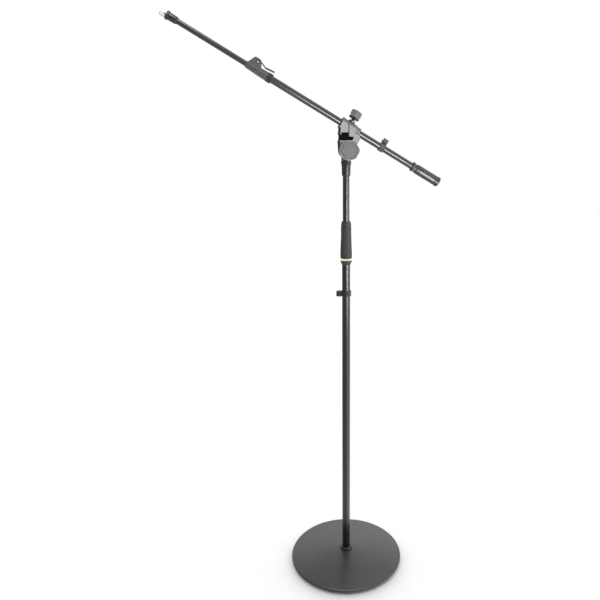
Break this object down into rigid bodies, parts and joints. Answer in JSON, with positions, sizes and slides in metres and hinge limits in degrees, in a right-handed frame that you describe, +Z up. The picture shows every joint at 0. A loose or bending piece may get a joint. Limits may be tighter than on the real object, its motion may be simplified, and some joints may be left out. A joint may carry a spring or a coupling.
{
  "type": "boom microphone stand",
  "caption": "Free-standing microphone stand with a heavy round base, a telescoping mast with a twist clutch, and a tilting, sliding, telescoping boom arm with a counterweight.",
  "frame": {"origin": "centre of the base's underside, on the floor", "axes": "+Z up along the mast, boom in the XZ plane with its microphone end towards -X, tilt knob towards -Y"},
  "size_m": [0.6439, 0.29, 1.3673],
  "materials": {
    "base_casting": "fine textured dark grey powder coat",
    "tube_black": "satin black powder coat",
    "head_casting": "satin charcoal paint on a die casting",
    "moulded_black": "fine spark-eroded texture",
    "soft_touch": "matt soft-touch rubber",
    "knob_grey": "satin grey moulding",
    "pale_ring": "pale ring, glossy",
    "signal_ring": "pale yellow-green ring, glossy",
    "zinc_steel": "bright zinc plate",
    "black_steel": "black zinc plate, satin",
    "nickel_plate": "bright nickel plate",
    "friction_fibre": "brown fibre disc",
    "rubber": "matt black rubber",
    "weight_rubber": "ribbed matt rubber"
  },
  "bodies": {
    "base_and_lower_mast": {"base_plate": "base_casting", "base_rubber_ring": "rubber", "base_washer": "zinc_steel", "base_bolt": "zinc_steel", "base_cap": "rubber", "foot_insert": "zinc_steel", "foot_collar": "moulded_black", "lower_tube": "tube_black", "clutch_body": "moulded_black", "clutch_cup": "soft_touch", "clutch_colour_ring": "signal_ring", "clutch_collet": "moulded_black"},
    "clutch_grip": {"clutch_grip": "soft_touch", "clutch_wiper": "moulded_black"},
    "mast_cable_clip": {"mast_cable_clip": "moulded_black"},
    "mast_guide": {"mast_guide_bush": "moulded_black"},
    "upper_mast": {"upper_tube": "tube_black", "upper_tube_plug": "moulded_black", "mast_top_stud": "zinc_steel", "socket_sleeve": "moulded_black", "socket_lock_ring": "moulded_black", "head_base": "head_casting", "friction_discs": "friction_fibre"},
    "boom_head": {"boom_holder": "head_casting", "pivot_bolt": "zinc_steel", "knob_washer": "zinc_steel", "clamp_shoe": "moulded_black"},
    "tilt_knob": {"tilt_knob_insert": "zinc_steel", "tilt_knob_flange": "moulded_black", "tilt_knob_ring": "pale_ring", "tilt_knob_cap": "knob_grey"},
    "clamp_knob": {"clamp_screw": "black_steel", "clamp_knob_flange": "moulded_black", "clamp_knob_ring": "pale_ring", "clamp_knob_cap": "knob_grey"},
    "clamp_liner": {"clamp_liner": "moulded_black"},
    "boom_outer": {"boom_outer_tube": "tube_black", "boom_end_plug": "moulded_black", "weight_core": "zinc_steel", "weight_grip": "weight_rubber", "weight_front_collar": "moulded_black", "weight_end_cap": "moulded_black", "weight_end_screw": "black_steel", "lock_sleeve": "moulded_black", "lock_rear_collar": "moulded_black", "lock_eyelet": "black_steel", "lock_shoe": "moulded_black"},
    "boom_cable_clip": {"boom_cable_clip": "moulded_black"},
    "lock_lever": {"lock_lever": "black_steel"},
    "boom_guide": {"boom_guide_bush": "moulded_black"},
    "boom_inner": {"boom_inner_tube": "tube_black", "inner_tube_plug": "moulded_black", "mic_end_fitting": "black_steel", "mic_end_ring": "moulded_black"},
    "thread_adapter": {"thread_adapter": "nickel_plate"}
  },
  "joints": [
    {"name": "clutch_turn", "type": "hinge", "parent": "base_and_lower_mast", "child": "clutch_grip", "pos_m": [0, 0, 0.86], "axis": [0, 0, 1], "range_deg": [0, 180]},
    {"name": "height_slide", "type": "slide", "parent": "base_and_lower_mast", "child": "mast_guide", "axis": [0, 0, 1], "range_m": [-0.104, 0.49]},
    {"name": "mast_turn", "type": "hinge", "parent": "mast_guide", "child": "upper_mast", "pos_m": [0, 0, 0.23], "axis": [0, 0, 1], "continuous": true},
    {"name": "mast_clip_slide", "type": "slide", "parent": "base_and_lower_mast", "child": "mast_cable_clip", "axis": [0, 0, 1], "range_m": [-0.65, 0.06]},
    {"name": "boom_tilt", "type": "hinge", "parent": "upper_mast", "child": "boom_head", "pos_m": [0, 0, 1.07], "axis": [0, 1, 0], "range_deg": [-90, 58]},
    {"name": "tilt_knob_turn", "type": "hinge", "parent": "boom_head", "child": "tilt_knob", "pos_m": [0, -0.03, 1.07], "axis": [0, -1, 0], "continuous": true},
    {"name": "clamp_knob_turn", "type": "hinge", "parent": "boom_head", "child": "clamp_knob", "pos_m": [0.02164, 0, 1.14988], "axis": [0.5, 0, 0.866], "continuous": true},
    {"name": "boom_roll", "type": "hinge", "parent": "boom_head", "child": "clamp_liner", "pos_m": [0.00768, 0, 1.1233], "axis": [-0.866, 0, 0.5], "continuous": true},
    {"name": "boom_slide", "type": "slide", "parent": "clamp_liner", "child": "boom_outer", "axis": [-0.866, 0, 0.5], "range_m": [-0.175, 0.05]},
    {"name": "boom_clip_slide", "type": "slide", "parent": "boom_outer", "child": "boom_cable_clip", "axis": [-0.866, 0, 0.5], "range_m": [-0.078, 0]},
    {"name": "lock_lever_lift", "type": "hinge", "parent": "boom_outer", "child": "lock_lever", "pos_m": [-0.20092, 0, 1.2636], "axis": [0, -1, 0], "range_deg": [0, 110]},
    {"name": "boom_extend", "type": "slide", "parent": "boom_outer", "child": "boom_guide", "axis": [-0.866, 0, 0.5], "range_m": [-0.16, 0.12]},
    {"name": "inner_roll", "type": "hinge", "parent": "boom_guide", "child": "boom_inner", "pos_m": [-0.07459, 0, 1.1708], "axis": [-0.866, 0, 0.5], "continuous": true},
    {"name": "adapter_turn", "type": "hinge", "parent": "boom_inner", "child": "thread_adapter", "pos_m": [-0.39675, 0, 1.3568], "axis": [-0.866, 0, 0.5], "continuous": true}
  ]
}
